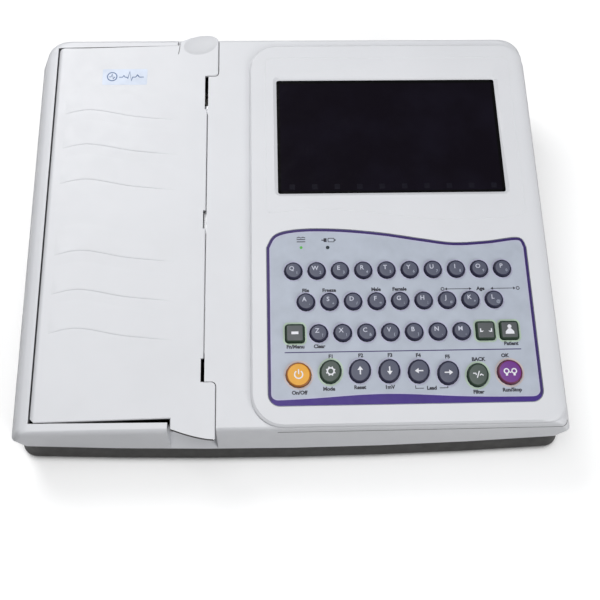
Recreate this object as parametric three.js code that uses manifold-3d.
// A twelve-channel ECG recorder: a wedge-shaped desktop case with a hinged paper cover and thermal
// printer on the left, and a raised panel with the screen and the keyboard on the right.
// Millimetres, +Z up, +Y towards the back. The origin is the middle of the footprint, on the table.
import * as THREE from "three";
import { mergeVertices } from "three/addons/utils/BufferGeometryUtils.js";
import Module from "manifold-3d";

// ---------------------------------------------------------------- driving dimensions
const CASE_WIDTH = 422; // of the upper case, at the widest line of its sides
const CASE_DEPTH = 334; // the top slopes from FRONT_HEIGHT to BACK_HEIGHT over this depth
const BACK_REACH = 4; // how far the case goes on behind it
const FRONT_HEIGHT = 59;
const BACK_HEIGHT = 95;
const FOOT_HEIGHT = 3;
const PARTING_Z = 25; // where the upper and lower cases meet
const WALL = 2.5;
const SIDE_DRAFT = 17; // how far the widest line lies below the sloping top
const SIDE_BULGE = 5; // how far it stands out from the foot of the side's roll
const FOOT_TAPER = 2.4; // how far the sides come in again at the parting line
const GAP = 0.35; // between pieces that meet

const PANEL_RISE = 3.5; // the screen and keyboard panel above the top
const PANEL_LEFT = -31.8;
const OVERLAY = { left: -18.8, right: 187.9, front: -151, thickness: 1.2, sink: 0.2 };
const SCREEN = { left: -8.9, right: 177.6, front: 22.3, back: 128.2, bevel: 3 };

const COVER = { left: -195.2, right: -67.4, back: 164, front: -158, top: 0.8, thickness: 3 };
const TONGUE = { left: -91.3, right: -58.2, frontEnd: -131.2, backEnd: 134 };
const HINGE = { x: -190.8, z: -3.6, barrel: 4.4, boss: 3, pin: 1.5 };
const HINGE_BOSSES = [-67.5, 67.5]; // middles of the two fixed bosses
const BOSS_LENGTH = 15;

const POCKET = { left: -93.5, right: -57.5, back: -160, lip: 25.9 }; // for a finger, under the front tongue

const PLATEN = { x: -76.5, z: -11, radius: 6, length: 214, shaft: 2 };
const ROLL = { x: -132, z: -29, radius: 22, length: 210, core: 6.5 };
const GEAR_MODULE = 0.8;
const GEAR_FACE = { front: 118, back: 124 };
const PLATEN_TEETH = 16;
const DRIVE_TEETH = 30;
const PINION_TEETH = 12;
const PINION_DIRECTION = THREE.MathUtils.degToRad(-12); // from the drive gear's centre

const KEY = { rise: 2.7, radius: 7, flange: 1.2, flangeBottom: -0.8, hole: 0.4, pitch: 18.3 };
const LARGE_KEY_RADIUS = 9.5;
const OVAL_KEY = { rx: 8, ry: 9.2, tilt: THREE.MathUtils.degToRad(-20) };
const SQUARE_KEY = { half: 7.3, corner: 2.4 };
const ROUND_STEPS = 16;
const OVERLAY_STEPS = 7; // steps in each stretch of the overlay's wavy edge

const INLET = { x: 135, z: 50, width: 60, height: 24 };
const ROCKER = { x: 151, y: 171.4, z: 50, width: 19.2, height: 13.2 };
const ROCKER_TILT = THREE.MathUtils.degToRad(7);
const CONNECTOR = { y: 70, z: 45 };

// ---------------------------------------------------------------- derived frames
const halfWidth = CASE_WIDTH / 2;
const halfDepth = CASE_DEPTH / 2;
const backDepth = halfDepth + BACK_REACH;
const middleHeight = (FRONT_HEIGHT + BACK_HEIGHT) / 2;
const tilt = Math.atan2(BACK_HEIGHT - FRONT_HEIGHT, CASE_DEPTH);
const topHeight = (y) => middleHeight + y * Math.tan(tilt);
const overlayTop = PANEL_RISE - OVERLAY.sink;
const overlayBottom = overlayTop - OVERLAY.thickness;

const machine = new THREE.Group(); // the case's own frame
const panel = new THREE.Group(); // its XY plane is the sloping top, its +Y runs up the slope
panel.position.z = middleHeight;
panel.rotation.x = tilt;
panel.updateMatrix();
machine.add(panel);

// ---------------------------------------------------------------- materials
const plastic = (color, roughness) => new THREE.MeshStandardMaterial({ color, roughness, metalness: 0 });
const metal = (color, roughness) => new THREE.MeshStandardMaterial({ color, roughness, metalness: 1 });
const finishes = {
  white: () => plastic(0xe9eaec, 0.45),
  darkGrey: () => plastic(0x3b3a39, 0.6),
  lightGrey: () => plastic(0xb4bec8, 0.5),
  slate: () => plastic(0x66718c, 0.5),
  orange: () => plastic(0xe0962f, 0.5),
  purple: () => plastic(0x6c3c94, 0.45),
  black: () => plastic(0x111114, 0.5),
  glass: () => plastic(0x0a0810, 0.08),
  rubber: () => plastic(0x1d1d1f, 0.85),
  nylon: () => plastic(0xdcd8cc, 0.5),
  paper: () => plastic(0xf4efee, 0.9),
  board: () => plastic(0x1f5c38, 0.6),
  battery: () => plastic(0x2b4f8a, 0.6),
  steel: () => metal(0xb8bac0, 0.3),
  aluminium: () => metal(0xc4c7cb, 0.4),
};

// ---------------------------------------------------------------- solids
const wasm = await Module();
wasm.setup();

function solid(geometry) {
  const bare = geometry.clone();
  bare.deleteAttribute("normal");
  bare.deleteAttribute("uv");
  const merged = mergeVertices(bare, 1e-3);
  const vertProperties = merged.attributes.position.array;
  const triVerts = new Uint32Array(merged.index.array);
  return new wasm.Manifold(new wasm.Mesh({ numProp: 3, vertProperties, triVerts }));
}

function geometryOf(body) {
  const mesh = body.getMesh();
  const geometry = new THREE.BufferGeometry();
  geometry.setAttribute("position", new THREE.BufferAttribute(mesh.vertProperties, 3));
  geometry.setIndex(new THREE.BufferAttribute(mesh.triVerts, 1));
  geometry.computeVertexNormals();
  return geometry;
}

const join = (bodies) => bodies.reduce((whole, body) => whole.add(body));
const cut = (body, cutters) => cutters.reduce((rest, cutter) => rest.subtract(cutter), body);

function addMesh(parent, name, shape, material) {
  const geometry = shape.isBufferGeometry ? shape : geometryOf(shape);
  const mesh = new THREE.Mesh(geometry, material);
  mesh.name = name;
  parent.add(mesh);
  return mesh;
}

// A block from its low corner to its high corner.
function block(low, high) {
  const size = high.map((value, axis) => value - low[axis]);
  const middle = high.map((value, axis) => (value + low[axis]) / 2);
  return new THREE.BoxGeometry(...size).translate(...middle);
}

// A rod along Y at (x, z).
function rod(x, z, radius, front, back, steps = ROUND_STEPS) {
  const geometry = new THREE.CylinderGeometry(radius, radius, back - front, steps);
  return geometry.translate(x, (front + back) / 2, z);
}

// A post along Z at (x, y).
function post(x, y, radius, bottom, top, steps = ROUND_STEPS) {
  const geometry = new THREE.CylinderGeometry(radius, radius, top - bottom, steps);
  return geometry.rotateX(Math.PI / 2).translate(x, y, (bottom + top) / 2);
}

function slab(shape, bottom, top, curveSegments = 6) {
  const options = { depth: top - bottom, bevelEnabled: false, curveSegments };
  return new THREE.ExtrudeGeometry(shape, options).translate(0, 0, bottom);
}

// A profile drawn in XZ, as a solid from front to back along Y.
function prism(shape, front, back, curveSegments = 6) {
  const options = { depth: back - front, bevelEnabled: false, curveSegments };
  return new THREE.ExtrudeGeometry(shape, options).rotateX(Math.PI / 2).translate(0, back, 0);
}

// A profile drawn in YZ, as a solid from left to right along X.
function alongX(shape, left, right) {
  const options = { depth: right - left, bevelEnabled: false, curveSegments: 6 };
  const geometry = new THREE.ExtrudeGeometry(shape, options);
  return geometry.rotateX(Math.PI / 2).rotateZ(Math.PI / 2).translate(left, 0, 0);
}

// A closed skin through outlines of equal length, each with its own height, lowest first.
function loft(rings) {
  const count = rings[0].outline.length;
  const positions = rings.flatMap(({ outline, height }) => {
    return outline.flatMap(({ x, y }) => [x, y, height(y)]);
  });
  const faces = [];
  for (let ring = 0; ring < rings.length - 1; ring++) {
    for (let step = 0; step < count; step++) {
      const next = (step + 1) % count;
      const low = ring * count;
      const high = low + count;
      faces.push(low + step, low + next, high + next, low + step, high + next, high + step);
    }
  }
  const last = (rings.length - 1) * count;
  for (const [a, b, c] of THREE.ShapeUtils.triangulateShape(rings[0].outline, [])) {
    faces.push(c, b, a);
  }
  for (const [a, b, c] of THREE.ShapeUtils.triangulateShape(rings.at(-1).outline, [])) {
    faces.push(last + a, last + b, last + c);
  }
  const geometry = new THREE.BufferGeometry();
  geometry.setAttribute("position", new THREE.Float32BufferAttribute(positions, 3));
  geometry.setIndex(faces);
  return geometry;
}

const level = (z) => () => z;
const below = (drop) => (y) => topHeight(y) - drop;
const inPanel = (geometry) => geometry.applyMatrix4(panel.matrix);

// ---------------------------------------------------------------- outlines
// An outline as points, without the closing point that repeats the first one.
function outlineOf(shape, divisions = 6) {
  const points = shape.getPoints(divisions);
  if (points[0].distanceTo(points.at(-1)) < 1e-6) {
    points.pop();
  }
  return points;
}

// The case seen from above: round corners, and a front edge that bows out by `bow`.
function caseOutline({ side, front, back, frontRadius, backRadius, bow = 0 }) {
  const shape = new THREE.Shape();
  shape.moveTo(-side + frontRadius, -front);
  shape.quadraticCurveTo(0, -front - 2 * bow, side - frontRadius, -front);
  shape.absarc(side - frontRadius, -front + frontRadius, frontRadius, -Math.PI / 2, 0);
  shape.absarc(side - backRadius, back - backRadius, backRadius, 0, Math.PI / 2);
  shape.absarc(-side + backRadius, back - backRadius, backRadius, Math.PI / 2, Math.PI);
  shape.absarc(-side + frontRadius, -front + frontRadius, frontRadius, Math.PI, 1.5 * Math.PI);
  return outlineOf(shape);
}

function roundedRectangle(left, right, front, back, radius, rightRadius = radius) {
  const shape = new THREE.Shape();
  shape.absarc(right - rightRadius, front + rightRadius, rightRadius, -Math.PI / 2, 0);
  shape.absarc(right - rightRadius, back - rightRadius, rightRadius, 0, Math.PI / 2);
  shape.absarc(left + radius, back - radius, radius, Math.PI / 2, Math.PI);
  shape.absarc(left + radius, front + radius, radius, Math.PI, 1.5 * Math.PI);
  return shape;
}

// The keyboard overlay: straight sides and front, and a back edge that rises and dips like a wave.
function overlayShape(grow) {
  const { left, right, front } = OVERLAY;
  const radius = 9 + grow;
  const shape = new THREE.Shape();
  shape.absarc(right + grow - radius, front - grow + radius, radius, -Math.PI / 2, 0);
  shape.lineTo(right + grow, -27);
  shape.splineThru([
    new THREE.Vector2(182.3, -19 + grow),
    new THREE.Vector2(157, -21.5 + grow),
    new THREE.Vector2(130, -22.6 + grow),
    new THREE.Vector2(104, -18.8 + grow),
    new THREE.Vector2(72, -13.4 + grow),
    new THREE.Vector2(36, -9.8 + grow),
    new THREE.Vector2(6, -9.8 + grow),
    new THREE.Vector2(-12, -14.2 + grow),
    new THREE.Vector2(left - grow, -25),
  ]);
  shape.absarc(left - grow + radius, front - grow + radius, radius, Math.PI, 1.5 * Math.PI);
  return shape;
}

// The paper cover seen from above, with a tongue at each end of its free edge.
function coverShape() {
  const { left, right, front, back } = COVER;
  const shape = new THREE.Shape();
  shape.moveTo(left, front + 2.5);
  shape.lineTo(left + 4, front - 1.5);
  shape.lineTo(TONGUE.left, front);
  shape.lineTo(TONGUE.left, -166.3);
  shape.quadraticCurveTo(-72, -173.8, TONGUE.right - 1, -174.6);
  shape.lineTo(TONGUE.right, -173.6);
  shape.absarc(TONGUE.right - 3.5, TONGUE.frontEnd - 3.5, 3.5, 0, Math.PI / 2);
  shape.lineTo(right, TONGUE.frontEnd);
  shape.lineTo(right, TONGUE.backEnd);
  shape.absarc(TONGUE.right - 3.5, TONGUE.backEnd + 3.5, 3.5, -Math.PI / 2, 0);
  shape.lineTo(TONGUE.right, 169);
  shape.bezierCurveTo(-59.4, 175.4, -72, 178, TONGUE.left, 168.4);
  shape.lineTo(TONGUE.left, back + 0.8);
  shape.lineTo(left + 24, back - 1.5);
  shape.absarc(left + 6, back - 7.5, 6, Math.PI / 2, Math.PI);
  return shape;
}

// ---------------------------------------------------------------- upper case
// The sides roll over by 10 mm at the top and lean out to their widest line, SIDE_DRAFT below it.
function topCaseOuter() {
  const rollRing = (angle) => {
    const inward = 1 - Math.cos(angle);
    const outline = caseOutline({
      side: halfWidth - SIDE_BULGE - 10 * inward,
      front: halfDepth - 3 * inward,
      back: backDepth - 4 * inward,
      frontRadius: 5 - 2 * inward,
      backRadius: 18 - 5 * inward,
      bow: 0.4,
    });
    return { outline, height: below(6 * (1 - Math.sin(angle))) };
  };
  const widest = caseOutline({
    side: halfWidth,
    front: halfDepth + 0.4,
    back: backDepth,
    frontRadius: 4.5,
    backRadius: 19,
    bow: 1.6,
  });
  const foot = caseOutline({
    side: halfWidth - FOOT_TAPER,
    front: halfDepth - 0.7,
    back: backDepth - 1,
    frontRadius: 6,
    backRadius: 20,
    bow: 5.2,
  });
  const rolls = [0, 30, 60, 90].map((degrees) => rollRing(THREE.MathUtils.degToRad(degrees)));
  return solid(
    loft([
      { outline: foot, height: level(PARTING_Z + GAP / 2) },
      { outline: widest, height: below(SIDE_DRAFT) },
      ...rolls,
    ]),
  );
}

function topCaseCavity() {
  const ring = (inset, drop) => ({
    outline: caseOutline({
      side: halfWidth - SIDE_BULGE - WALL - inset,
      front: halfDepth - WALL - 0.5 - inset / 3,
      back: backDepth - WALL - 0.5 - inset / 3,
      frontRadius: 8,
      backRadius: 16,
    }),
    height: below(drop),
  });
  const mouth = caseOutline({
    side: halfWidth - FOOT_TAPER - WALL,
    front: halfDepth - 0.7 - WALL,
    back: backDepth - 1 - WALL,
    frontRadius: 7,
    backRadius: 18,
    bow: 5.2,
  });
  const roof = [ring(0, 9), ring(3, 4.5), ring(9, WALL)];
  return solid(loft([{ outline: mouth, height: level(PARTING_Z - 5) }, ...roof]));
}

// The raised panel under the screen and keyboard. Its right side carries on the case's side roll.
function raisedPanel(rise, inset, foot) {
  const topRight = halfWidth - SIDE_BULGE;
  const ring = (left, right, end, z) => {
    const [front, back] = [-166.4 + end, 162.8 - end];
    const shape = roundedRectangle(PANEL_LEFT + left, topRight - right, front, back, 24, 14);
    return { outline: outlineOf(shape), height: level(z) };
  };
  const rings = [
    ring(inset, 0.4 + inset, inset, foot),
    ring(inset, 1.4 + inset, inset, rise - 3.5),
    ring(inset + 0.2, 4 + inset, inset + 0.3, rise - 1.4),
    ring(inset + 1.6, 9.5 + inset, inset + 1.8, rise),
  ];
  return solid(inPanel(loft(rings)));
}

// Thick seats under the cover's ends and tongues, left standing inside the cavity.
function coverSeats() {
  const seats = [
    block([-202, -172, -6], [-54, -149.5, 2]),
    block([-202, 149.5, -6], [-54, 176, 2]),
    block([-97, -172, -6], [-54, -128, 2]),
    block([-97, 131, -6], [-54, 176, 2]),
  ];
  return seats.map((seat) => solid(inPanel(seat)));
}

// The room that the cover and its tongues lie in, and the opening through to the paper.
function coverOpening() {
  const seatZ = COVER.top - COVER.thickness - 0.4;
  const left = COVER.left - GAP;
  const right = COVER.right + 0.8;
  const recess = new THREE.Shape();
  recess.moveTo(left, COVER.front - 2);
  recess.lineTo(right, COVER.front - 3);
  recess.lineTo(right, COVER.back + 1.4);
  recess.lineTo(left + 24, COVER.back - 0.6);
  recess.lineTo(left, COVER.back - 0.9);
  // The gap in front of the cover widens towards its tongue, and is open to the inside.
  const trench = new THREE.Shape();
  trench.moveTo(left + 14, COVER.front - 2);
  trench.lineTo(POCKET.left, COVER.front - 2.9);
  trench.lineTo(POCKET.left, COVER.front + 1);
  const tongueSlot = (front, back) =>
    roundedRectangle(POCKET.left, TONGUE.right + 0.7, front, back, 3.8);
  const cutters = [
    slab(recess, seatZ, 12),
    slab(tongueSlot(-190, TONGUE.frontEnd + 0.4), seatZ, 12),
    slab(tongueSlot(TONGUE.backEnd - 0.4, 190), seatZ, 12),
    slab(trench, -20, 12),
    block([POCKET.left, -190, -20], [TONGUE.left + 0.4, COVER.front + 1, 12]),
    block([left, -152, -20], [right, 152, 12]),
  ].map((cutter) => solid(inPanel(cutter)));
  // Left of the hinge line the cover swings down, along its whole length.
  const hingeRoom = solid(inPanel(slab(recess, -20, 12)));
  const hingeStrip = solid(inPanel(block([left, -165, -20], [HINGE.x + 6.3, 165, 12])));
  return [...cutters, hingeRoom.intersect(hingeStrip)];
}

// A finger pocket in the front wall under the tongue, grown by `grow`: its floor slopes in and up.
function fingerPocket(grow) {
  const profile = new THREE.Shape();
  profile.moveTo(-190, POCKET.lip - 0.8 * grow);
  profile.lineTo(-171 + 0.6 * grow, POCKET.lip - 0.8 * grow);
  profile.quadraticCurveTo(-163.5 + 0.8 * grow, 32 - 0.5 * grow, POCKET.back + grow, 44);
  profile.lineTo(POCKET.back + grow, 90);
  profile.lineTo(-190, 90);
  return solid(alongX(profile, POCKET.left - grow, POCKET.right + grow));
}

// A finger scoop in the back wall under the other tongue, as an ellipsoid grown by `grow`.
function fingerScoop(grow) {
  const ball = new THREE.SphereGeometry(1, 18, 10);
  ball.scale(16.8 + grow, 11 + grow, 31 + grow);
  return solid(ball.translate((TONGUE.left + TONGUE.right) / 2, backDepth + 4, BACK_HEIGHT - 2));
}

function screenBevel() {
  const { left, right, front, back, bevel } = SCREEN;
  const ring = (grow, z) => ({
    outline: outlineOf(roundedRectangle(left - grow, right + grow, front - grow, back + grow, 2 + grow)),
    height: level(z),
  });
  return solid(inPanel(loft([ring(0, -1), ring(0, 1.4), ring(bevel, PANEL_RISE + 0.2), ring(bevel, 9)])));
}

function makeTopCase() {
  const outer = topCaseOuter().add(raisedPanel(PANEL_RISE, 0, -4));
  const cavity = cut(topCaseCavity().add(raisedPanel(-0.5, 4, -6)), coverSeats());
  const connectorWall = solid(block([194, 44, 30], [halfWidth, 96, 60]));
  const inserts = [fingerPocket(WALL), fingerScoop(WALL), connectorWall];
  const shell = join([outer.subtract(cavity), ...inserts.map((insert) => insert.intersect(outer))]);
  const glassSeat = slab(
    roundedRectangle(SCREEN.left - 4, SCREEN.right + 4, SCREEN.front - 4, SCREEN.back + 4, 3),
    -9,
    1,
  );
  const inlet = block(
    [INLET.x - INLET.width / 2 - GAP, 140, INLET.z - INLET.height / 2 - GAP],
    [INLET.x + INLET.width / 2 + GAP, 180, INLET.z + INLET.height / 2 + GAP],
  );
  const cutters = [
    ...coverOpening(),
    fingerPocket(0),
    fingerScoop(0),
    screenBevel(),
    solid(inPanel(glassSeat)),
    solid(inPanel(slab(overlayShape(GAP), overlayBottom - GAP, 12, OVERLAY_STEPS))),
    solid(inPanel(slab(overlayShape(-3.5), -9, 12, 2))),
    solid(inlet),
    solid(block([197, 47, 33], [215, 93, 57])),
    solid(block([185, 56.5, 39], [200, 83.5, 51])),
  ];
  return cut(shell, cutters);
}

// ---------------------------------------------------------------- lower case
function makeBottomCase() {
  const ring = (side, end, z) => ({
    outline: caseOutline({
      side: halfWidth + side,
      front: halfDepth + end,
      back: backDepth - 1.4 + end / 3,
      frontRadius: 12,
      backRadius: 21,
      bow: 4.6,
    }),
    height: level(z),
  });
  const toe = ring(1, 1.7, FOOT_HEIGHT + 1.5);
  const outer = solid(loft([ring(-0.3, 0, FOOT_HEIGHT), toe, ring(-3.2, -1.4, PARTING_Z - GAP / 2)]));
  const cavity = solid(loft([ring(-6, -4.2, FOOT_HEIGHT + WALL), ring(-6, -4.2, PARTING_Z + 1)]));
  const corners = [
    [-1, -1],
    [1, -1],
    [-1, 1],
    [1, 1],
  ];
  const feet = corners.map(([side, end]) => solid(post(170 * side, 138 * end, 9, 0, FOOT_HEIGHT + 1)));
  const bosses = corners.map(([side, end]) => {
    return solid(post(188 * side, 148 * end, 4, FOOT_HEIGHT + 1, PARTING_Z - 1.5, 10));
  });
  return join([outer.subtract(cavity), ...feet, ...bosses]);
}

// ---------------------------------------------------------------- paper cover
function makeCover() {
  const bottom = COVER.top - COVER.thickness;
  const plate = new THREE.ExtrudeGeometry(coverShape(), {
    depth: COVER.thickness - 1.2,
    bevelThickness: 0.6,
    bevelSize: 0.6,
    bevelOffset: -0.6,
    bevelSegments: 1,
    curveSegments: 6,
  }).translate(0, 0, bottom + 0.6);
  const barrel = rod(HINGE.x, HINGE.z, HINGE.barrel, -150, 150, 24);
  const edgeRound = rod(HINGE.x, HINGE.z, HINGE.barrel, -200, 200, 24);
  const leftOfHinge = solid(block([COVER.left - 5, -180, HINGE.z], [HINGE.x, 180, 5]));
  const edgeCorner = leftOfHinge.subtract(solid(edgeRound));
  const ribs = [-96, -48, 0, 48, 96].map((y) => {
    return solid(block([-184, y - 0.8, bottom - 2.6], [-90, y + 0.8, bottom + 1]));
  });
  const arm = new THREE.Shape();
  arm.moveTo(PLATEN.x - 5, bottom + 1);
  arm.lineTo(PLATEN.x - 4.4, PLATEN.z);
  arm.absarc(PLATEN.x, PLATEN.z, 4.4, Math.PI, 2 * Math.PI);
  arm.lineTo(PLATEN.x + 5, bottom + 1);
  const arms = [-112.8, 109.8].map((front) => solid(prism(arm, front, front + 3)));
  const thumbDish = new THREE.SphereGeometry(1, 24, 12).scale(17.5, 11.5, 4.2);
  thumbDish.rotateZ(THREE.MathUtils.degToRad(14)).translate(-73.8, 165, COVER.top + 2.2);
  const clearances = HINGE_BOSSES.flatMap((y) => {
    const [front, back] = [y - BOSS_LENGTH / 2 - 0.5, y + BOSS_LENGTH / 2 + 0.5];
    return [
      solid(rod(HINGE.x, HINGE.z, HINGE.boss + 0.6, front, back)),
      solid(block([HINGE.x - 6, front, HINGE.z - 6], [HINGE.x + 6, back, HINGE.z])),
    ];
  });
  const reliefs = [
    [TONGUE.frontEnd, -113],
    [-7, 9],
    [101.5, TONGUE.backEnd],
  ].map(([front, back]) => solid(block([COVER.right - 2, front, -9], [COVER.right + 2, back, 9])));
  const bore = solid(rod(HINGE.x, HINGE.z, HINGE.pin + 0.3, -160, 160, 12));
  const shaftBore = solid(rod(PLATEN.x, PLATEN.z, PLATEN.shaft + 0.3, -120, 120, 12));
  return cut(join([solid(plate), solid(barrel), ...ribs, ...arms]), [
    edgeCorner,
    solid(thumbDish),
    ...clearances,
    ...reliefs,
    bore,
    shaftBore,
  ]);
}

// ---------------------------------------------------------------- printer
const pitchRadius = (teeth) => (GEAR_MODULE * teeth) / 2;

// A spur gear around (x, z) with a tooth centred on the angle `toothAt`, and a round bore.
function gear(teeth, x, z, toothAt, bore) {
  const pitch = pitchRadius(teeth);
  const step = (2 * Math.PI) / teeth;
  const root = pitch - 1.25 * GEAR_MODULE;
  const tip = pitch + 0.75 * GEAR_MODULE;
  const tooth = [
    [root, -0.27],
    [tip, -0.1],
    [tip, 0.1],
    [root, 0.27],
  ];
  const points = [];
  for (let index = 0; index < teeth; index++) {
    for (const [radius, offset] of tooth) {
      const angle = toothAt + (index + offset) * step;
      points.push(new THREE.Vector2(radius * Math.cos(angle), radius * Math.sin(angle)));
    }
  }
  const shape = new THREE.Shape(points);
  shape.holes.push(new THREE.Path().absarc(0, 0, bore, 0, 2 * Math.PI, true));
  return prism(shape, GEAR_FACE.front, GEAR_FACE.back).translate(x, 0, z);
}

const drive = { x: PLATEN.x, z: PLATEN.z - pitchRadius(PLATEN_TEETH) - pitchRadius(DRIVE_TEETH) };
const pinionReach = pitchRadius(DRIVE_TEETH) + pitchRadius(PINION_TEETH);
const pinion = {
  x: drive.x + pinionReach * Math.cos(PINION_DIRECTION),
  z: drive.z + pinionReach * Math.sin(PINION_DIRECTION),
};

function makeDriveGear() {
  return gear(DRIVE_TEETH, drive.x, drive.z, 0, 2.3);
}

// The pinion has a gap facing the drive gear, and its shaft runs back into the motor.
function makePinion() {
  const gapAt = PINION_DIRECTION + Math.PI;
  const wheel = gear(PINION_TEETH, pinion.x, pinion.z, gapAt + Math.PI / PINION_TEETH, 1);
  return solid(wheel).add(solid(rod(pinion.x, pinion.z, 1.5, 117.4, 128, 12)));
}

function makeMotor() {
  const can = solid(rod(pinion.x, pinion.z, 17.5, 127, 149, 24));
  const collar = solid(rod(pinion.x, pinion.z, 5.5, 125.3, 128));
  return can.add(collar).subtract(solid(rod(pinion.x, pinion.z, 1.9, 120, 129, 12)));
}

function makePlatenRoller() {
  const half = PLATEN.length / 2;
  const sleeve = solid(rod(PLATEN.x, PLATEN.z, PLATEN.radius, -half, half, 24));
  return sleeve.subtract(solid(rod(PLATEN.x, PLATEN.z, PLATEN.shaft + 0.3, -200, 200, 12)));
}

function makePaperRoll() {
  const half = ROLL.length / 2;
  const shape = new THREE.Shape().absarc(0, 0, ROLL.radius, 0, 2 * Math.PI);
  shape.holes.push(new THREE.Path().absarc(0, 0, ROLL.core, 0, 2 * Math.PI, true));
  return prism(shape, -half, half, 12).translate(ROLL.x, 0, ROLL.z);
}

function makePaperSpindle() {
  const half = ROLL.length / 2 + 2;
  const core = ROLL.core - 0.4;
  const profile = [
    [0, -half - 7],
    [3, -half - 7],
    [3, -half],
    [core, -half],
    [core, half],
    [3, half],
    [3, half + 7],
    [0, half + 7],
  ].map(([x, y]) => new THREE.Vector2(x, y));
  return new THREE.LatheGeometry(profile, ROUND_STEPS).translate(ROLL.x, 0, ROLL.z);
}

function makePrintHead() {
  const shape = new THREE.Shape();
  const face = PLATEN.x + PLATEN.radius + 0.3;
  shape.moveTo(face, -9);
  shape.lineTo(face, -13);
  shape.lineTo(face + 2.2, -20);
  shape.lineTo(-62.5, -20);
  shape.lineTo(-62.5, -8);
  shape.lineTo(-66, -4.6);
  shape.lineTo(face + 0.8, -4.6);
  return prism(shape, -108, 108);
}

// The tub that holds the roll, with the hinge bosses and the two gear plates.
function makeChassis() {
  const tub = block([-186, -111, -54], [-84, 111, -12]);
  const pocket = block([-184, -109, -52], [-86, 109, -5]);
  const journalSlot = block([ROLL.x - 3.4, -112, ROLL.z], [ROLL.x + 3.4, 112, -5]);
  const journalSeat = rod(ROLL.x, ROLL.z, 3.4, -112, 112);
  const bosses = HINGE_BOSSES.flatMap((y) => {
    const [front, back] = [y - BOSS_LENGTH / 2, y + BOSS_LENGTH / 2];
    return [
      solid(rod(HINGE.x, HINGE.z, HINGE.boss, front, back)),
      solid(block([HINGE.x, front, -15], [HINGE.x + HINGE.boss, back, HINGE.z])),
      solid(block([HINGE.x, front, -16], [-184.5, back, -13])),
    ];
  });
  const gearPlates = [
    block([-110, 110, -54], [-84.5, 114, -50]),
    block([-110, 113.6, -54], [-45, 115.6, -19.5]),
    block([-72, 114, -56], [-45, 126.6, -53]),
    block([-72, 125, -56], [-42, 126.6, -17]),
    rod(drive.x, drive.z, 2, 115, 124.7, 12),
  ];
  const body = join([cut(solid(tub), [solid(pocket)]), ...bosses, ...gearPlates.map(solid)]);
  return cut(body, [
    solid(journalSlot),
    solid(journalSeat),
    solid(rod(HINGE.x, HINGE.z, HINGE.pin + 0.3, -160, 160, 12)),
    solid(rod(pinion.x, pinion.z, 6.2, 124, 128)),
  ]);
}

// ---------------------------------------------------------------- screen
function makeScreenWindow() {
  const { left, right, front, back } = SCREEN;
  return slab(roundedRectangle(left - 3.5, right + 3.5, front - 3.5, back + 3.5, 2.5), -1.15, 0.65, 2);
}

function makeScreenModule() {
  const { left, right, front, back } = SCREEN;
  const frame = slab(roundedRectangle(left - 3, right + 3, front - 3, back + 3, 2), -8.5, -1.5, 2);
  const electronics = block([left + 20, front + 20, -11], [right - 20, back - 20, -8]);
  return solid(frame).add(solid(electronics));
}

// ---------------------------------------------------------------- keyboard
const TYPING_ROWS = [
  { keys: "q w e r t y u i o p", x: 2, y: -45.1 },
  { keys: "a s d f g h j k l", x: 11.2, y: -70.6 },
  { keys: "fn z x c v b n m space patient", x: 2.1, y: -95.7 },
];
const SQUARE_KEYS = ["fn", "space", "patient"];
const CONTROL_KEYS = [
  { name: "power", x: 4.2, y: -127.9, kind: "large" },
  { name: "mode", x: 28.3, y: -125.8, kind: "oval" },
  { name: "up", x: 50.5, y: -125.6, kind: "oval" },
  { name: "down", x: 72.7, y: -126, kind: "oval" },
  { name: "left", x: 94.9, y: -126.6, kind: "oval" },
  { name: "right", x: 117.1, y: -128.2, kind: "oval" },
  { name: "filter", x: 139.3, y: -130.2, kind: "oval" },
  { name: "run", x: 163.8, y: -128.5, kind: "large" },
];
const typingKeys = TYPING_ROWS.flatMap(({ keys, x, y }) =>
  keys.split(" ").map((name, index) => {
    const kind = SQUARE_KEYS.includes(name) ? "square" : "round";
    return { name, x: x + index * KEY.pitch, y, kind };
  }),
);
const keys = [...typingKeys, ...CONTROL_KEYS];

function ellipse(rx, ry, turn) {
  const centre = new THREE.Vector2();
  return Array.from({ length: ROUND_STEPS }, (_, step) => {
    const angle = (2 * Math.PI * step) / ROUND_STEPS;
    return new THREE.Vector2(rx * Math.cos(angle), ry * Math.sin(angle)).rotateAround(centre, turn);
  });
}

function keyOutline(kind, grow) {
  if (kind === "square") {
    const half = SQUARE_KEY.half + grow;
    return outlineOf(roundedRectangle(-half, half, -half, half, SQUARE_KEY.corner + grow), 2);
  }
  if (kind === "oval") {
    return ellipse(OVAL_KEY.rx + grow, OVAL_KEY.ry + grow, OVAL_KEY.tilt);
  }
  const radius = kind === "large" ? LARGE_KEY_RADIUS : KEY.radius;
  return ellipse(radius + grow, radius + grow, 0);
}

// A key cap: a flange that stays under the overlay, and a slightly tapered button through it.
function makeKey(kind) {
  const flangeTop = overlayBottom - GAP;
  return loft([
    { outline: keyOutline(kind, KEY.flange), height: level(KEY.flangeBottom) },
    { outline: keyOutline(kind, KEY.flange), height: level(flangeTop) },
    { outline: keyOutline(kind, 0), height: level(flangeTop) },
    { outline: keyOutline(kind, -0.5), height: level(overlayTop + KEY.rise) },
  ]);
}

function makeOverlay() {
  const shape = overlayShape(0);
  for (const { x, y, kind } of keys) {
    const hole = keyOutline(kind, KEY.hole).map((point) => point.add(new THREE.Vector2(x, y)));
    shape.holes.push(new THREE.Path(hole.reverse()));
  }
  return slab(shape, overlayBottom, overlayTop, OVERLAY_STEPS);
}

function makeKeypadBoard() {
  return block([-17, -149, -3.8], [186, -16, -2.2]);
}

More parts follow.
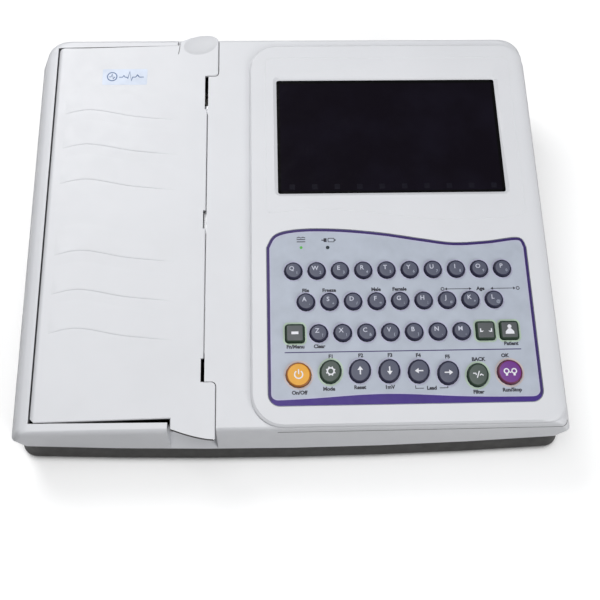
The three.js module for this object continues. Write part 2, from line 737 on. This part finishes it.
// ---------------------------------------------------------------- electronics
function makeMainBoard() {
  const parts = [
    block([15, 15, 11], [178, 140, 12.6]),
    block([25, 100, 12.5], [65, 132, 32]),
    block([75, 110, 12.5], [120, 130, 26]),
    block([130, 70, 12.5], [155, 95, 18]),
    block([60, 40, 12.5], [95, 75, 16]),
  ];
  return join(parts.map(solid));
}

function makeBatteryPack() {
  return slab(roundedRectangle(30, 140, -140, -78, 5), 7.5, 27, 2);
}

// ---------------------------------------------------------------- sockets
// The mains inlet and its switch share one housing with a flange on the back wall.
function makeInlet() {
  const { x, z, width, height } = INLET;
  const face = backDepth + 2.2;
  const lip = 3; // how far the flange stands out round the housing
  const housing = [
    block([x - width / 2, 149, z - height / 2], [x + width / 2, backDepth + 0.5, z + height / 2]),
    block(
      [x - width / 2 - lip, backDepth + GAP, z - height / 2 - lip],
      [x + width / 2 + lip, face, z + height / 2 + lip],
    ),
  ];
  const pins = [
    [-7, -2.5],
    [0, 3.5],
    [7, -2.5],
  ].map(([dx, dz]) => block([121.5 + dx - 1, 151, z + dz - 2], [121.5 + dx + 1, 164, z + dz + 2]));
  const socket = block([109, 152, z - 8], [134, 180, z + 8]);
  const rockerWindow = block([ROCKER.x - 10, 158, z - 7], [ROCKER.x + 10, 180, z + 7]);
  const hollow = cut(join(housing.map(solid)), [solid(socket), solid(rockerWindow)]);
  return join([hollow, ...pins.map(solid)]);
}

// A rocker with a shallow V face, standing with one end pressed.
function makeRocker() {
  const half = ROCKER.height / 2;
  const profile = new THREE.Shape();
  profile.moveTo(-3.5, -half + 2);
  profile.lineTo(1.2, -half);
  profile.lineTo(0, 0);
  profile.lineTo(1.2, half);
  profile.lineTo(-3.5, half - 2);
  return alongX(profile, -ROCKER.width / 2, ROCKER.width / 2);
}

function makePatientConnector() {
  const { y, z } = CONNECTOR;
  const dShape = (inset) => {
    const shape = new THREE.Shape();
    shape.moveTo(y - 11 + inset, z - 4.2 + inset);
    shape.lineTo(y + 11 - inset, z - 4.2 + inset);
    shape.lineTo(y + 12.5 - inset, z + 4.2 - inset);
    shape.lineTo(y - 12.5 + inset, z + 4.2 - inset);
    return shape;
  };
  const parts = [
    solid(block([186, y - 12.5, z - 5], [197.6, y + 12.5, z + 5])),
    solid(block([197.35, y - 18.5, z - 6.2], [198.5, y + 18.5, z + 6.2])),
    solid(alongX(dShape(0), 198, 204)),
    ...[-16, 16].map((dy) => {
      const nut = new THREE.CylinderGeometry(2.2, 2.2, 4, 6).rotateZ(Math.PI / 2);
      return solid(nut.translate(200, y + dy, z));
    }),
  ];
  return join(parts).subtract(solid(alongX(dShape(0.8), 199.4, 210)));
}

// ---------------------------------------------------------------- assembly
const KEY_FINISHES = { power: finishes.orange, run: finishes.purple };

addMesh(machine, "top_case", makeTopCase(), finishes.white());
addMesh(machine, "bottom_case", makeBottomCase(), finishes.darkGrey());
addMesh(panel, "paper_cover", makeCover(), finishes.white());
addMesh(panel, "cover_hinge_pin", rod(HINGE.x, HINGE.z, HINGE.pin, -146, 146, 12), finishes.steel());
addMesh(panel, "platen_roller", makePlatenRoller(), finishes.rubber());
addMesh(panel, "platen_shaft", rod(PLATEN.x, PLATEN.z, PLATEN.shaft, -115, 125, 12), finishes.steel());
const platenGear = gear(PLATEN_TEETH, PLATEN.x, PLATEN.z, Math.PI / 2, PLATEN.shaft + 0.3);
addMesh(panel, "platen_gear", platenGear, finishes.nylon());
addMesh(panel, "drive_gear", makeDriveGear(), finishes.nylon());
addMesh(panel, "motor_pinion", makePinion(), finishes.steel());
addMesh(panel, "stepper_motor", makeMotor(), finishes.steel());
addMesh(panel, "print_head", makePrintHead(), finishes.aluminium());
addMesh(panel, "printer_chassis", makeChassis(), finishes.black());
addMesh(panel, "paper_roll", makePaperRoll(), finishes.paper());
addMesh(panel, "paper_spindle", makePaperSpindle(), finishes.nylon());
addMesh(panel, "screen_window", makeScreenWindow(), finishes.glass());
addMesh(panel, "screen_module", makeScreenModule(), finishes.black());
addMesh(panel, "keypad_overlay", makeOverlay(), finishes.lightGrey());
addMesh(panel, "keypad_board", makeKeypadBoard(), finishes.board());
addMesh(machine, "main_board", makeMainBoard(), finishes.board());
addMesh(machine, "battery_pack", makeBatteryPack(), finishes.battery());
addMesh(machine, "mains_inlet", makeInlet(), finishes.black());
const rocker = addMesh(machine, "power_rocker", makeRocker(), finishes.black());
rocker.position.set(ROCKER.x, ROCKER.y, ROCKER.z);
rocker.rotation.x = -ROCKER_TILT;
addMesh(machine, "patient_connector", makePatientConnector(), finishes.steel());
for (const { name, x, y, kind } of keys) {
  const finish = KEY_FINISHES[name] ?? finishes.slate;
  addMesh(panel, `key_${name}`, makeKey(kind), finish()).position.set(x, y, 0);
}

// The origin goes to the middle of the footprint.
const extent = new THREE.Box3().setFromObject(machine, true);
const middle = extent.getCenter(new THREE.Vector3());
machine.position.set(-middle.x, -middle.y, -extent.min.z);

export default machine;
